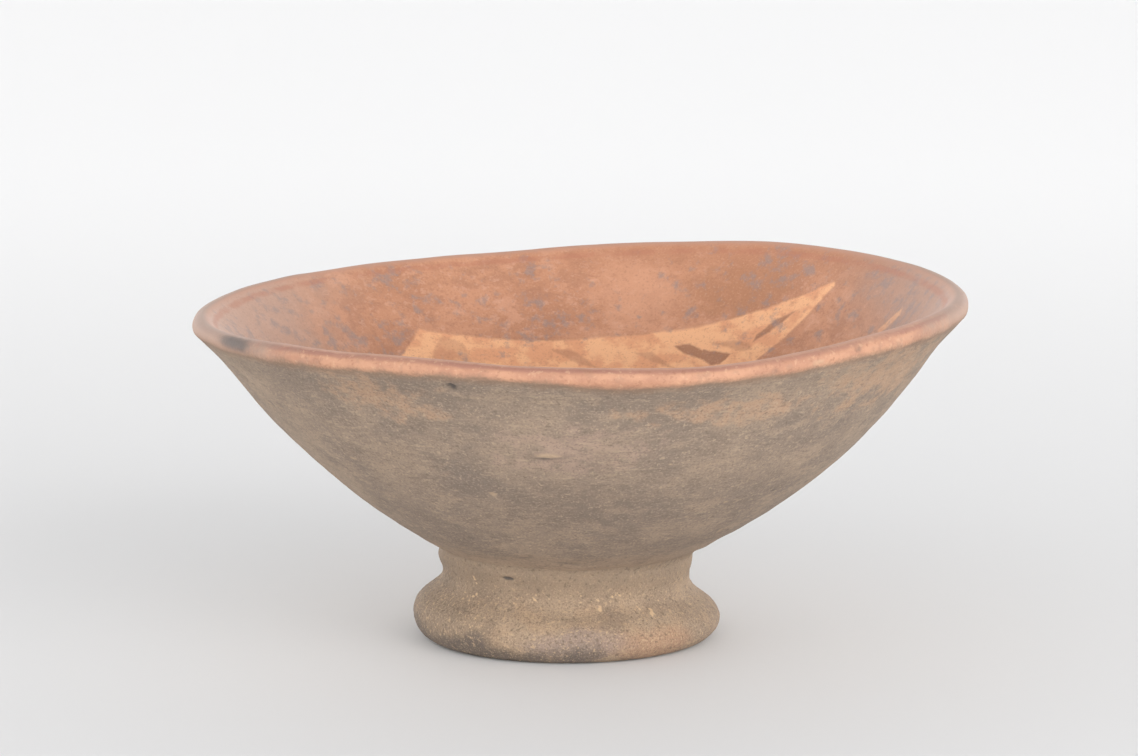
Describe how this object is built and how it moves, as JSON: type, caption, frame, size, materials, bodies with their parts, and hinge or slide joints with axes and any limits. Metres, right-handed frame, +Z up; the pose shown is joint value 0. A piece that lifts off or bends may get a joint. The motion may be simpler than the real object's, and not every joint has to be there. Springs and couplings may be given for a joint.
{
  "type": "footed bowl",
  "caption": "Hand-built pottery bowl with a wide flaring wall and a rolled lip on a low hollow ring foot, fired in one piece.",
  "frame": {"origin": "on the ground plane under the middle of the bowl's box", "axes": "+Z up out of the bowl's mouth, +X towards the higher side of the rim, -Y towards the viewer in front"},
  "size_m": [0.1934, 0.1934, 0.0888],
  "materials": {
    "fired_clay": "matt smoothed earthenware, fire-clouded outside, with an orange-red slip inside and over the lip"
  },
  "bodies": {
    "root": {"footed_bowl": "fired_clay"}
  },
  "joints": []
}
